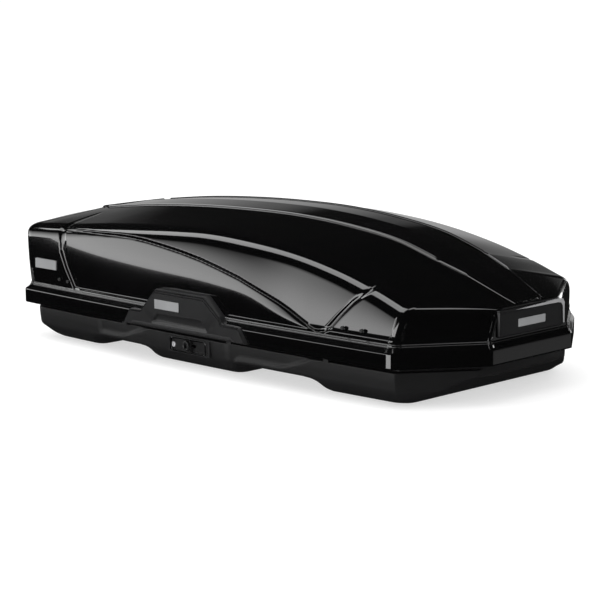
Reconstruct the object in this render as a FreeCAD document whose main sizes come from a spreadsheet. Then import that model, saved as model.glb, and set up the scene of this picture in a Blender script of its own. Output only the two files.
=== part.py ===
"""Roof cargo box with a lid that opens from either side.

The box is built closed and unlatched, in millimetres.  +X is the tapered nose, +Y the vehicle's
left, +Z up.  The origin is under the middle of the box, on the plane its base stands on.
"""
import FreeCAD, Part
import Sketcher
import os

os.makedirs("parts", exist_ok=True)
doc = FreeCAD.newDocument("RoofBox")

# ---------------------------------------------------------------- driving dimensions
DIMENSIONS = {
    "lid_wall": 4, "base_wall": 4,
    "band_low": 115, "band_high": 162, "ledge_high": 184, "ledge_inset": 10.5,
    "rim_inset": 48.5, "rim_high": 180, "shelf_high": 100, "flank_inset": 28.5,
    "arch_high": 38, "seal_high": 7, "seal_wide": 8,
    "hinge_y": 398, "hinge_z": 121, "unit_rear": -400, "unit_mid": 60, "unit_front": 450,
    "pin_radius": 4, "pin_half": 30, "bush_radius": 9, "bush_half": 10, "run_gap": 0.06,
    "saddle_radius": 13.5, "ear_radius": 5.5, "ear_near": 12, "ear_far": 20,
    "latch_travel": 40, "rod_radius": 3, "rod_y": 362, "rod_z": 136, "finger_wide": 8,
    "lock_z": 71, "lock_rear": -192, "lock_front": -14, "lock_face": 407,
    "key_x": -172, "key_radius": 8,
    "lifter_rear": -640, "lifter_front": 380, "lifter_y": 325, "lifter_z": 150,
    "arm_length": 300, "arm_radius": 5, "arm_angle": 52.6, "glide_radius": 10,
    "rib_wide": 24, "rib_low": 352, "rib_top": 407,
    "clamp_y": 250, "clamp_rear": -425, "clamp_front": 235, "claw_x": 47, "claw_z": 28,
    "claw_thick": 12, "claw_pin": 3, "carriage_z": 42.4, "carriage_thick": 6, "knob_z": 60.4,
    "knob_radius": 30, "knob_high": 22, "play_rear": 12, "play_front": 50,
    "seat_thick": 3, "rail_y": 203, "rail_wide": 26, "rail_high": 6,
    "origin_x": 18.8, "handle_face": 442, "strap_wide": 25, "strap_thick": 1.6,
}
sheet = doc.addObject("Spreadsheet::Sheet", "Params")
for row, (alias, amount) in enumerate(DIMENSIONS.items(), start=1):
    sheet.set("A%d" % row, alias)
    sheet.set("B%d" % row, str(amount))
    sheet.setAlias("B%d" % row, alias)
doc.recompute()

SIDES = (("left", 1), ("right", -1))
UNITS = (("rear", "Params.unit_rear"), ("mid", "Params.unit_mid"), ("front", "Params.unit_front"))
NODES = []


def number(entry):
    """Millimetres behind a plain number or a spreadsheet expression."""
    return float(sheet.evalExpression(entry)) if isinstance(entry, str) else float(entry)


def bind(item, prop, entry):
    item.setExpression(prop, str(entry))


def node(item, label):
    """Mark an object as one separate piece of the box."""
    item.Label = label
    NODES.append(item)
    return item


def box(name, across_x, across_y, across_z, side=1):
    """Block between two limits on each axis; side -1 mirrors it to the right-hand flank."""
    item = doc.addObject("Part::Box", name)
    low_y, high_y = across_y
    if side < 0:
        low_y, high_y = "-(%s)" % high_y, "-(%s)" % low_y
    for prop, size, (low, high) in (("x", "Length", across_x), ("y", "Width", (low_y, high_y)),
                                    ("z", "Height", across_z)):
        bind(item, "Placement.Base." + prop, low)
        bind(item, size, "(%s) - (%s)" % (high, low))
    return item


TURN = {
    "x": FreeCAD.Rotation(FreeCAD.Vector(0, 1, 0), 90),
    "y": FreeCAD.Rotation(FreeCAD.Vector(1, 0, 0), -90),
    "z": FreeCAD.Rotation(),
}


def rod(name, axis, start, radius, length):
    """Round bar from its start point along +axis."""
    item = doc.addObject("Part::Cylinder", name)
    item.Placement = FreeCAD.Placement(FreeCAD.Vector(), TURN[axis])
    for prop, entry in zip("xyz", start):
        bind(item, "Placement.Base." + prop, entry)
    bind(item, "Radius", radius)
    bind(item, "Height", length)
    return item


def cut(name, whole, *tools):
    item = doc.addObject("Part::Cut", name)
    item.Base = whole
    item.Tool = tools[0] if len(tools) == 1 else fuse(name + "_tools", *tools)
    return item


def fuse(name, *shapes):
    item = doc.addObject("Part::MultiFuse", name)
    item.Shapes = list(shapes)
    return item


def common(name, first, second):
    item = doc.addObject("Part::Common", name)
    item.Base = first
    item.Tool = second
    return item


def group(name, *shapes):
    """Identical pieces that share one node."""
    item = doc.addObject("Part::Compound", name)
    item.Links = list(shapes)
    return item


def outline_body(name, role, points, length):
    """Closed outline sketched on an origin plane of its own body and padded both ways."""
    body = doc.addObject("PartDesign::Body", name)
    sketch = body.newObject("Sketcher::SketchObject", name + "_sketch")
    plane = [item for item in body.Origin.OriginFeatures if item.Role == role][0]
    sketch.AttachmentSupport = [(plane, "")]
    sketch.MapMode = "FlatFace"
    spots = [FreeCAD.Vector(number(across), number(along), 0) for across, along in points]
    for here, there in zip(spots, spots[1:] + spots[:1]):
        sketch.addGeometry(Part.LineSegment(here, there))
    for index, (across, along) in enumerate(points):
        sketch.addConstraint(Sketcher.Constraint("Coincident", index, 2, (index + 1) % len(points), 1))
        for kind, entry, size in (("DistanceX", across, spots[index].x),
                                  ("DistanceY", along, spots[index].y)):
            place = sketch.addConstraint(Sketcher.Constraint(kind, -1, 1, index, 1, size))
            if isinstance(entry, str):
                bind(sketch, "Constraints[%d]" % place, entry)
    pad = body.newObject("PartDesign::Pad", name + "_pad")
    pad.Profile = sketch
    pad.Midplane = True
    bind(pad, "Length", length)
    body.Tip = pad
    return body


# ---------------------------------------------------------------- shape of the shells
# Station: x, height of the lid's shoulder, half width and height of the raised centre panel.
LID_STATIONS = (
    (-905, 360, 143, 394),
    (-850, 365, 142, 400),
    (-560, 389, 135, 434),
    (-340, 406, 130, 451),
    (-100, 418, 127, 458),
    (90, 411, 122, 457),
    (285, 389, 117, 441),
    (474, 354, 112, 412),
    (613, 315, 107, 371),
    (710, 281, 90, 335),
    (862, 266, 60, 271),
)
# Station: x and height of the underside; the two raised stretches clear the crossbars.
BASE_STATIONS = (
    (-868, 74), (-848, 38), (-820, 15), (-775, 0), (-590, 0), (-525, 38), (-325, 38), (-285, 0),
    (45, 0), (100, 38), (370, 38), (430, 0), (650, 0), (700, 8), (740, 22), (790, 51), (838, 76),
)
WIDEST_X = 63
HALF_WIDE = 432.5
BOW = 0.0334e-3
CORNER_X = 710
NOSE_X = 875
NOSE_HALF = 180.5
REAR_ROUND_X = -850
REAR_X = -905
REAR_HALF = 352
SHOULDER_Y = 375


def half_width(x):
    """Half width of the lid's band: bowed flanks, rounded rear corners, blunt three-facet nose."""
    if x > CORNER_X:
        share = (x - CORNER_X) / (NOSE_X - CORNER_X)
        return half_width(CORNER_X) * (1 - share) + NOSE_HALF * share
    if x < REAR_ROUND_X:
        share = (REAR_ROUND_X - x) / (REAR_ROUND_X - REAR_X)
        return half_width(REAR_ROUND_X) * (1 - share) + REAR_HALF * share
    return HALF_WIDE - BOW * (x - WIDEST_X) ** 2


def lid_half(station, skin):
    """Right-to-top half outline (y, z) of the lid at one station, moved inwards by the skin."""
    x, shoulder, panel_y, panel_z = station
    band = half_width(x) - skin
    shoulder_y = min(SHOULDER_Y, band - 28) - skin
    bottom = number("Params.band_low") - 3 * skin
    return [
        (band, bottom),
        (band, number("Params.band_high")),
        (band - number("Params.ledge_inset"), number("Params.ledge_high")),
        (shoulder_y + 10, shoulder - 14 - skin),
        (shoulder_y - 8, shoulder - skin),
        (panel_y, panel_z - skin),
        (0, panel_z + 2 - skin),
    ]


def base_half(station, skin):
    """Rim-to-floor half outline (y, z) of the base at one station, moved inwards by the skin."""
    x, under = station
    wide = half_width(x)
    crease = max(43, under + 8)
    return [
        (wide - number("Params.rim_inset") - skin, number("Params.rim_high") + 3 * skin),
        (wide - number("Params.rim_inset") - skin, number("Params.shelf_high") + 2 + skin),
        (wide - number("Params.flank_inset") - skin, number("Params.shelf_high") - skin),
        (wide - 30 - skin, max(75, crease + 5)),
        (wide - 36 - skin, crease + skin / 2),
        (wide - 62 - skin / 2, under + min(14, (crease - under) / 2) + skin),
        (wide - 107, under + skin),
    ]


def ring(name, half, x_of):
    """Closed cross-section wire from its half outline; x_of gives x for each height."""
    left = [FreeCAD.Vector(x_of(z), y, z) for y, z in half]
    right = [FreeCAD.Vector(spot.x, -spot.y, spot.z) for spot in reversed(left) if spot.y > 0]
    wire = doc.addObject("Part::Polygon", name)
    wire.Nodes = left + right
    wire.Close = True
    return wire


def loft(name, rings):
    item = doc.addObject("Part::Loft", name)
    item.Sections = rings
    item.Solid = True
    item.Ruled = True
    return item


def lid_loft(name, skin):
    """Lid volume; the tail leans back going up and the blunt nose leans back too."""
    low = number("Params.band_low")
    rings = []
    for index, station in enumerate(LID_STATIONS):
        lean = {0: -0.045, len(LID_STATIONS) - 1: -0.075}.get(index, 0)
        start = {0: -898 + skin, len(LID_STATIONS) - 1: 873 - skin}.get(index, station[0])
        place = lambda z, start=start, lean=lean: start + lean * (z - low)
        rings.append(ring("%s_%d" % (name, index), lid_half(station, skin), place))
    return loft(name, rings)


def base_loft(name, skin):
    last = len(BASE_STATIONS) - 1
    rings = []
    for index, station in enumerate(BASE_STATIONS):
        start = station[0] + {0: skin, last: -skin}.get(index, 0)
        rings.append(ring("%s_%d" % (name, index), base_half(station, skin), lambda z, s=start: s))
    return loft(name, rings)


lid_solid = lid_loft("lid_solid", 0)
lid_hollow = lid_loft("lid_hollow", number("Params.lid_wall"))
base_solid = base_loft("base_solid", 0)
base_hollow = base_loft("base_hollow", number("Params.base_wall"))
CLAMPS = (
    ("rear_left", "Params.clamp_rear", 1, "Params.play_rear"),
    ("rear_right", "Params.clamp_rear", -1, "Params.play_rear"),
    ("front_left", "Params.clamp_front", 1, "Params.play_front"),
    ("front_right", "Params.clamp_front", -1, "Params.play_front"),
)
LIFTERS = (("rear", "Params.lifter_rear"), ("front", "Params.lifter_front"))


# ---------------------------------------------------------------- base and its fixed fittings
def lock_block(name, side):
    """Outside envelope of the lock housing, also the hole it fills in the flank."""
    return box(name, ("Params.lock_rear", "Params.lock_front"), (376, "Params.lock_face"),
               ("Params.lock_z - 24", "Params.lock_z + 25"), side)


def make_base_shell():
    holes = []
    for side_name, side in SIDES:
        holes.append(lock_block("lock_hole_" + side_name, side))
        for unit, x in UNITS:
            slot_end = x + " - 69 + Params.finger_wide + Params.latch_travel + 1.5"
            holes.append(box("finger_slot_%s_%s" % (side_name, unit), (x + " - 71", slot_end),
                             (340, 396), ("Params.rod_z - 12", "Params.rod_z - 1"), side))
    for name, x, side, play in CLAMPS:
        reach = "Params.claw_x + 7 + %s" % play
        holes.append(box("clamp_slot_" + name, ("%s - (%s)" % (x, reach), "%s + %s" % (x, reach)),
                         ("Params.clamp_y - 13", "Params.clamp_y + 13"), (20, 60), side))
    tray = cut("base_tray", base_solid, base_hollow)
    return node(cut("base_shell", tray, *holes), "base_shell")


def make_rim_seal():
    """Rubber trim pressed on the rim of the base."""
    plans = []
    last = len(BASE_STATIONS) - 1
    for name, inset in (("seal_out", -2), ("seal_in", number("Params.seal_wide") - 2)):
        edge = []
        for index, (x, under) in enumerate(BASE_STATIONS):
            shift = {0: inset, last: -inset}.get(index, 0)
            edge.append((x + shift, half_width(x) - number("Params.rim_inset") - inset))
        wire = doc.addObject("Part::Polygon", name)
        there = [FreeCAD.Vector(x, y, number("Params.rim_high")) for x, y in edge]
        back = [FreeCAD.Vector(x, -y, number("Params.rim_high")) for x, y in reversed(edge)]
        wire.Nodes = there + back
        wire.Close = True
        slab = doc.addObject("Part::Extrusion", name + "_slab")
        slab.Base = wire
        slab.Dir = FreeCAD.Vector(0, 0, 1)
        slab.Solid = True
        bind(slab, "LengthFwd", "Params.seal_high")
        plans.append(slab)
    return node(cut("rim_seal", *plans), "rim_seal")


def make_saddles(side_name, side):
    """Three bearing blocks on the shelf outside the rim; each is open at the top for the pin."""
    blocks = []
    for unit, x in UNITS:
        name = "saddle_%s_%s" % (side_name, unit)
        start = "%s - Params.bush_half" % x
        wide = "2 * Params.bush_half"
        centre = (start, "%d * Params.hinge_y" % side, "Params.hinge_z")
        hub = rod(name + "_hub", "x", centre, "Params.saddle_radius", wide)
        web = box(name + "_web", (start, "%s + Params.bush_half" % x),
                  (360, "Params.hinge_y + 2"), ("Params.shelf_high - 2", "Params.hinge_z + 2"), side)
        bore = rod(name + "_bore", "x", centre, "Params.bush_radius + Params.run_gap", wide)
        mouth = box(name + "_mouth", (start, "%s + Params.bush_half" % x),
                    ("Params.hinge_y - 6", "Params.hinge_y + 6"),
                    ("Params.hinge_z", "Params.hinge_z + 20"), side)
        blocks.append(cut(name, fuse(name + "_body", hub, web), bore, mouth, base_solid))
    return node(group("saddles_" + side_name, *blocks), side_name + "_hinge_saddles")


def make_lock_housing(side_name, side):
    """Moulded tray let into the flank, with the track the slider runs in."""
    name = "lock_housing_" + side_name
    tray = box(name + "_tray", ("Params.lock_rear + 6", "Params.lock_front - 6"), (395, 420),
               ("Params.lock_z - 18", "Params.lock_z + 18"), side)
    track = box(name + "_track", (-152, -84), (370, 400), ("Params.lock_z - 4", "Params.lock_z + 4"),
                side)
    inside = box(name + "_inside", (-200, 0), (360, 386), (30, 110), side)
    return node(cut(name, lock_block(name + "_block", side), tray, track, inside),
                side_name + "_lock_housing")


def make_lifter_brackets(side_name, side):
    """Two brackets inside the rim, each with the pivot pin of one lid lifter."""
    pieces = []
    for place, x in LIFTERS:
        name = "lifter_bracket_%s_%s" % (side_name, place)
        arm = box(name + "_arm", (x + " + 8", x + " + 14"), ("Params.lifter_y - 9", 400),
                  ("Params.lifter_z - 9", "Params.lifter_z + 9"), side)
        pin = rod(name + "_pin", "x", (x + " - 22", "%d * Params.lifter_y" % side, "Params.lifter_z"),
                  4, 32)
        pieces.append(fuse(name, common(name + "_body", arm, base_hollow), pin))
    return node(group("lifter_brackets_" + side_name, *pieces), side_name + "_lifter_brackets")


def make_rails_and_seats():
    for side_name, side in SIDES:
        bar = box("rail_" + side_name, (-530, 375),
                  ("Params.rail_y - Params.rail_wide / 2", "Params.rail_y + Params.rail_wide / 2"),
                  (42, "42 + Params.rail_high"), side)
        node(group(side_name + "_rail", bar), side_name + "_reinforcement_rail")
    bolts = []
    for side_name, side in SIDES:
        for x in (-480, -370, 130, 340):
            bolts.append(rod("rail_bolt_%s_%d" % (side_name, x + 500), "z",
                             (x, "%d * Params.rail_y" % side, "42 + Params.rail_high"), 7, 4))
    node(group("rail_bolt_heads", *bolts), "rail_bolts")
    seats = []
    for name, x, side, play in CLAMPS:
        for tag, low, high in (("in", -40, -16), ("out", 16, 40)):
            seats.append(box("seat_%s_%s" % (name, tag), (x + " - 75", x + " + 75"),
                             ("Params.clamp_y + %d" % low, "Params.clamp_y + %d" % high),
                             ("Params.arch_high - Params.seat_thick", "Params.arch_high"), side))
    node(group("seats", *seats), "crossbar_seats")


def make_straps():
    straps = []
    buckles = []
    for name, x in (("rear", -210), ("front", -30)):
        low = "%d - Params.strap_wide / 2" % x
        high = "%d + Params.strap_wide / 2" % x
        straps.append(box("strap_" + name, (low, high), (-285, 285),
                          ("Params.base_wall", "Params.base_wall + Params.strap_thick")))
        top = "Params.base_wall + Params.strap_thick"
        frame = box("buckle_frame_" + name, ("%s - 5" % low, "%s + 5" % high), (30, 85),
                    (top, top + " + 8"))
        window = box("buckle_window_" + name, (low, high), (62, 78), (top, top + " + 9"))
        buckles.append(cut("buckle_" + name, frame, window))
    node(group("straps", *straps), "load_straps")
    node(group("buckles", *buckles), "strap_buckles")


# ---------------------------------------------------------------- hinges and latches
def make_bushes(side_name, side):
    """Three nylon bushes, open at the top, that turn in the saddles with the lid's pins."""
    pieces = []
    for unit, x in UNITS:
        name = "bush_%s_%s" % (side_name, unit)
        start = "%s - Params.bush_half" % x
        centre = (start, "%d * Params.hinge_y" % side, "Params.hinge_z")
        body = rod(name + "_body", "x", centre, "Params.bush_radius", "2 * Params.bush_half")
        bore = rod(name + "_bore", "x", centre, "Params.pin_radius + Params.run_gap",
                   "2 * Params.bush_half")
        mouth = box(name + "_mouth", (start, "%s + Params.bush_half" % x),
                    ("Params.hinge_y - 4.4", "Params.hinge_y + 4.4"),
                    ("Params.hinge_z + 1", "Params.hinge_z + 12"), side)
        pieces.append(cut(name, body, bore, mouth))
    return node(group("bushes_" + side_name, *pieces), side_name + "_hinge_bushes")


def make_pins_and_brackets(side_name, side):
    """Hinge pins of the lid and the forked brackets that carry them inside its band."""
    pins = []
    brackets = []
    for unit, x in UNITS:
        name = "pin_%s_%s" % (side_name, unit)
        start = "%s - Params.pin_half" % x
        y = "%d * Params.hinge_y" % side
        pins.append(rod(name, "x", (start, y, "Params.hinge_z"), "Params.pin_radius",
                        "2 * Params.pin_half"))
        plate = box(name + "_plate", (x + " - 28", x + " + 28"),
                    (half_width(number(x)) - 10, 440), ("Params.band_low + 1", 142), side)
        parts = [plate]
        for tag, low in (("a", "-Params.ear_far"), ("b", "Params.ear_near")):
            ear_x = "%s + %s" % (x, low)
            parts.append(rod(name + "_ear_" + tag, "x", (ear_x, y, "Params.hinge_z"),
                             "Params.ear_radius", "Params.ear_far - Params.ear_near"))
            parts.append(box(name + "_arm_" + tag,
                             (ear_x, ear_x + " + Params.ear_far - Params.ear_near"),
                             ("Params.hinge_y", 440),
                             ("Params.hinge_z - Params.ear_radius", "Params.hinge_z + Params.ear_radius"),
                             side))
        hole = rod(name + "_hole", "x", (start, y, "Params.hinge_z"), "Params.pin_radius + 0.02",
                   "2 * Params.pin_half")
        body = cut(name + "_drilled", fuse(name + "_fork", *parts), hole)
        brackets.append(common(name + "_bracket", body, lid_hollow))
    node(group("pins_" + side_name, *pins), side_name + "_hinge_pins")
    node(group("brackets_" + side_name, *brackets), side_name + "_pin_brackets")


def make_slider(side_name, side):
    """Slide plate of the latch with its finger ring and the stem that drives the rod."""
    name = "slider_" + side_name
    ring_y, eye_y, hole_y = (402, 403, 390) if side > 0 else (-411, -412, -410)
    plate = box(name + "_plate", (-183, -99.5), (395.4, 403),
                ("Params.lock_z - 17.6", "Params.lock_z + 17.6"), side)
    ring_out = rod(name + "_ring", "y", (-114, ring_y, "Params.lock_z"), 12, 9)
    ring_in = rod(name + "_eye", "y", (-114, eye_y, "Params.lock_z"), 8, 9)
    barrel = rod(name + "_hole", "y", ("Params.key_x", hole_y, "Params.lock_z - 2"),
                 "Params.key_radius + Params.run_gap", 20)
    stem = box(name + "_stem", (-147, -137), ("Params.rod_y - 4", 396),
               ("Params.lock_z - 3", "Params.lock_z + 3"), side)
    drop = box(name + "_drop", (-147, -137), ("Params.rod_y - 4", "Params.rod_y + 4"),
               ("Params.lock_z - 3", "Params.rod_z - Params.rod_radius"), side)
    body = fuse(name + "_body", plate, ring_out, stem, drop)
    return node(cut(name, body, ring_in, barrel), side_name + "_slider")


def make_latch_rod(side_name, side):
    """Bar inside the rim with three fingers that slide over the lid's pins."""
    name = "latch_rod_" + side_name
    start = ("Params.unit_rear - 80", "%d * Params.rod_y" % side, "Params.rod_z")
    parts = [rod(name + "_bar", "x", start, "Params.rod_radius",
                 "Params.unit_front - Params.unit_rear + 40")]
    for unit, x in UNITS:
        parts.append(box("%s_finger_%s" % (name, unit),
                         (x + " - 69", x + " - 69 + Params.finger_wide"),
                         ("Params.rod_y - 3", "Params.hinge_y + 5"),
                         ("Params.hinge_z + Params.pin_radius + 0.4", "Params.rod_z - 2"), side))
    return node(fuse(name, *parts), side_name + "_latch_rod")


def make_lock_cylinder(side_name, side):
    name = "key_" + side_name
    low = 396 if side > 0 else -405.5
    barrel = rod(name + "_barrel", "y", ("Params.key_x", low, "Params.lock_z - 2"),
                 "Params.key_radius", 9.5)
    slot = box(name + "_slot", ("Params.key_x - 1", "Params.key_x + 1"), (401, 410),
               ("Params.lock_z - 7", "Params.lock_z + 3"), side)
    return node(cut(name, barrel, slot), side_name + "_lock_cylinder")


TIP_Y = "(Params.lifter_y - Params.arm_length * cos(Params.arm_angle * 1 deg))"
TIP_Z = "Params.lifter_z + Params.arm_length * sin(Params.arm_angle * 1 deg)"


def make_lifters(side_name, side):
    """Sprung arms that hold the lid up, each with a glide pad that bears on a rib of the lid."""
    pads = []
    springs = []
    for place, x in LIFTERS:
        name = "lifter_%s_%s" % (side_name, place)
        y = "%d * Params.lifter_y" % side
        spine = rod(name + "_spine", "z", (x, y, "Params.lifter_z"), "Params.arm_radius",
                    "Params.arm_length")
        lean = FreeCAD.Rotation(FreeCAD.Vector(1, 0, 0), side * (90 - number("Params.arm_angle")))
        spine.Placement = FreeCAD.Placement(spine.Placement.Base, lean)
        tip_y = "%d * %s" % (side, TIP_Y)
        hub = rod(name + "_hub", "x", (x + " - 7.5", y, "Params.lifter_z"), 9, 15)
        axle = rod(name + "_axle", "x", (x + " - 7", tip_y, TIP_Z), 5, 14)
        bore = rod(name + "_bore", "x", (x + " - 8", y, "Params.lifter_z"), 4.06, 16)
        node(cut(name, fuse(name + "_all", spine, hub, axle), bore),
             "%s_%s_lifter_arm" % (place, side_name))
        pad = rod(name + "_pad", "x", (x + " - 7", tip_y, TIP_Z), "Params.glide_radius", 14)
        pads.append(cut(name + "_glide", pad, spine, axle))
        coil = rod(name + "_coil", "x", (x + " - 21", y, "Params.lifter_z"), 8, 13)
        springs.append(cut(name + "_spring", coil,
                           rod(name + "_core", "x", (x + " - 22", y, "Params.lifter_z"), 4, 32)))
    node(group("glides_" + side_name, *pads), side_name + "_glide_pads")
    node(group("springs_" + side_name, *springs), side_name + "_lifter_springs")


# ---------------------------------------------------------------- quick-mount clamps
def claw(name, facing):
    """Hooked claw, folded out level under the arch; facing 1 lies towards the nose."""
    points = ((-6, 5), (-6, -5), (24, -5), (24, -22), (36, -22), (36, 5))
    outline = [(facing * along, up) for along, up in points]
    body = outline_body(name + "_body", "XZ_Plane", outline, "Params.claw_thick")
    bore = rod(name + "_bore", "y", (0, -20, 0), "Params.claw_pin + Params.run_gap", 40)
    return cut(name, body, bore)


def make_clamp(name, x, side, play):
    """Carriage inside the box, its knob on top and two claws hanging through the slot."""
    where = (x, "%d * Params.clamp_y" % side)
    floor = "Params.carriage_z"
    top = "Params.carriage_z + Params.carriage_thick"
    parts = [box(name + "_plate", (-62, 62), (-28, 28), (floor, top)),
             rod(name + "_boss", "z", (0, 0, floor), 14, 16)]
    for facing in (-1, 1):
        for tag, low in (("in", -12), ("out", 6.4)):
            lug = "%s_lug_%s_%s" % (name, tag, "rear" if facing < 0 else "front")
            spot = "%d * Params.claw_x" % facing
            parts.append(box(lug, (spot + " - 6", spot + " + 6"), (low, low + 5.6),
                             ("Params.claw_z - 6", floor + " + 1")))
        parts.append(rod("%s_pin_%d" % (name, facing + 1), "y",
                         ("%d * Params.claw_x" % facing, -12, "Params.claw_z"), "Params.claw_pin", 24))
    well = rod(name + "_well", "z", (0, 0, "Params.carriage_z + 8"), 6.06, 20)
    carriage = node(cut(name + "_carriage", fuse(name + "_all", *parts), well),
                    name + "_clamp_carriage")
    cap = rod(name + "_cap", "z", (0, 0, "Params.knob_z"), "Params.knob_radius - 5",
              "Params.knob_high")
    lobes = []
    for turn in range(6):
        spot = FreeCAD.Rotation(FreeCAD.Vector(0, 0, 1), 60 * turn).multVec(FreeCAD.Vector(23, 0, 0))
        lobes.append(rod("%s_lobe_%d" % (name, turn), "z", (spot.x, spot.y, "Params.knob_z + 2"),
                         "Params.knob_radius - 23", "Params.knob_high - 3"))
    grip = fuse(name + "_grip", cap, *lobes)
    shaft = rod(name + "_shaft", "z", (0, 0, "Params.carriage_z + 9"), 6, 12)
    knob = node(fuse(name + "_knob", grip, shaft), name + "_clamp_knob")
    rear = node(claw(name + "_claw_rear", -1), name + "_clamp_rear_claw")
    front = node(claw(name + "_claw_front", 1), name + "_clamp_front_claw")
    for item, shift in ((carriage, "0"), (knob, "0"),
                        (rear, "-Params.claw_x"), (front, "Params.claw_x")):
        bind(item, "Placement.Base.x", "Params.origin_x + %s + %s" % (where[0], shift))
        bind(item, "Placement.Base.y", where[1])
    for item in (rear, front):
        bind(item, "Placement.Base.z", "Params.claw_z")


# ---------------------------------------------------------------- lid and its fittings
def make_lid_shell():
    return node(cut("lid_shell", lid_solid, lid_hollow), "lid_shell")


def make_lid_ribs():
    """Stiffeners under the lid; their lower edges are the tracks of the lifters' glide pads."""
    for place, x in LIFTERS:
        low = "Params.rib_low"
        high = "Params.rib_top"
        outline = [(-363, low), (-115, high), (115, high), (363, low), (363, 500), (-363, 500)]
        slab = outline_body(place + "_rib_slab", "YZ_Plane", outline, "Params.rib_wide")
        bind(slab, "Placement.Base.x", x)
        node(common(place + "_rib", slab, lid_hollow), place + "_lid_rib")


def make_handle(side_name, side):
    """Grab handle over the band: low shoulders, a raised middle and a finger recess below it."""
    outline = [(-361, 116), (178, 116), (145, 164), (80, 166), (71, 189), (4, 242), (-206, 242),
               (-278, 164), (-332, 164)]
    recess = [(-232, 128), (14, 128), (-16, 166), (-207, 161)]
    body = outline_body("handle_body_" + side_name, "XZ_Plane", outline, "Params.handle_face - 400")
    hollow = outline_body("handle_hollow_" + side_name, "XZ_Plane", recess, 18)
    bind(body, "Placement.Base.y", "%d * (Params.handle_face + 400) / 2" % side)
    bind(hollow, "Placement.Base.y", "%d * Params.handle_face" % side)
    return node(cut("handle_" + side_name, body, hollow, lid_solid), side_name + "_handle")


def make_badges():
    """Plain badge plates on the handles, on the flanks near the tail and across the nose."""
    small = []
    tail = []
    for side_name, side in SIDES:
        small.append(box("handle_badge_" + side_name, (-214, -108),
                         ("Params.handle_face", "Params.handle_face + 1"), (178, 206), side))
        block = box("tail_badge_block_" + side_name, (-829, -727), (380, 399), (233, 263), side)
        tail.append(cut("tail_badge_" + side_name, block, lid_solid))
    node(group("handle_badges", *small), "handle_badges")
    node(group("tail_badges", *tail), "tail_badges")
    plate = box("nose_plate", (850, 867.5), (-140, 140), (206, 256))
    outer = box("nose_frame_out", (850, 869), (-147, 147), (199, 263))
    inner = box("nose_frame_in", (840, 880), (-140, 140), (206, 256))
    node(cut("nose_badge", plate, lid_solid), "nose_badge_plate")
    node(cut("nose_frame", outer, fuse("nose_frame_tools", inner, lid_solid)), "nose_badge_frame")


def make_lid_screws():
    heads = []
    for side_name, side in SIDES:
        for x, z in ((526, 209), (595, 209), (-708, 206), (-664, 204)):
            start = half_width(x) - 22 if side > 0 else 12 - half_width(x) - 3
            name = "lid_screw_%s_%d" % (side_name, x + 900)
            heads.append(cut(name, rod(name + "_rod", "y", (x, start, z), 5, 13), lid_solid))
    return node(group("lid_screw_heads", *heads), "lid_screws")


def build():
    make_base_shell()
    make_rim_seal()
    make_rails_and_seats()
    make_straps()
    make_lid_shell()
    make_lid_ribs()
    make_badges()
    make_lid_screws()
    for side_name, side in SIDES:
        make_saddles(side_name, side)
        make_lock_housing(side_name, side)
        make_lifter_brackets(side_name, side)
        make_bushes(side_name, side)
        make_pins_and_brackets(side_name, side)
        make_slider(side_name, side)
        make_latch_rod(side_name, side)
        make_lock_cylinder(side_name, side)
        make_lifters(side_name, side)
        make_handle(side_name, side)
    for clamp in CLAMPS:
        make_clamp(*clamp)


build()
for item in NODES:
    if not any(path.endswith("Base.x") for path, entry in item.ExpressionEngine):
        bind(item, "Placement.Base.x", "Params.origin_x")
doc.recompute()
broken = [item.Name for item in doc.Objects if "Invalid" in item.State or "Error" in item.State]
if broken:
    raise RuntimeError("did not compute: %s" % ", ".join(broken))
for item in NODES:
    if item.Shape.isNull() or not item.Shape.isValid() or item.Shape.Volume <= 0:
        raise RuntimeError("%s has no sound solid" % item.Label)
    item.Shape.exportStep("parts/%s.step" % item.Label)
    print("%-32s %2d solids %12.0f mm3" % (item.Label, len(item.Shape.Solids), item.Shape.Volume))
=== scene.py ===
"""Looks of the roof cargo box, in metres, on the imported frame: +X nose, +Y left, +Z up."""
import math

import bmesh
import bpy
import numpy as np
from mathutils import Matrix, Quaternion, Vector

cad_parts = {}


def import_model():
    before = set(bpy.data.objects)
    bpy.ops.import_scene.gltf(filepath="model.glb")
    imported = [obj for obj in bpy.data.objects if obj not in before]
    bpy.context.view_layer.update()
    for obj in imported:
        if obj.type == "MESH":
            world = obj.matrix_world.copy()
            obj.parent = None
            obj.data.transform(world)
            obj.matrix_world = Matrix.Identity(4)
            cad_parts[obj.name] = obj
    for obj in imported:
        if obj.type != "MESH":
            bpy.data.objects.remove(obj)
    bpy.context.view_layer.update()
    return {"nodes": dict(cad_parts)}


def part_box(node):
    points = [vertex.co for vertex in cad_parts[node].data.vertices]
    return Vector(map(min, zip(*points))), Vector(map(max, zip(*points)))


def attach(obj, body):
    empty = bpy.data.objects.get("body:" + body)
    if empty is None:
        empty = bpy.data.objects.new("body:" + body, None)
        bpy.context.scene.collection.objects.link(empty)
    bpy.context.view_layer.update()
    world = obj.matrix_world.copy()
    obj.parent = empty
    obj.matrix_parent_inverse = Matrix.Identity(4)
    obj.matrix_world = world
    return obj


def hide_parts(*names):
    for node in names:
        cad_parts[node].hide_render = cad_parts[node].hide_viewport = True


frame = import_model()
NODES = frame["nodes"]
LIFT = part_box("lid_shell")[0].z  # heights in the lid's tables are measured from its band's lower edge
MIDDLE_X = 0.0188  # x of the tables' origin
SIDES = ((1, "left"), (-1, "right"))
SKIN_WALL = 0.004
SKIN_WELD, SKIN_SLIVER = 0.00008, 0.00002  # points this close are joined, edges this short dissolved
SKIN_SHARP, PIECE_SHARP = 38, 32  # edges bent by more degrees than this stay sharp


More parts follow.
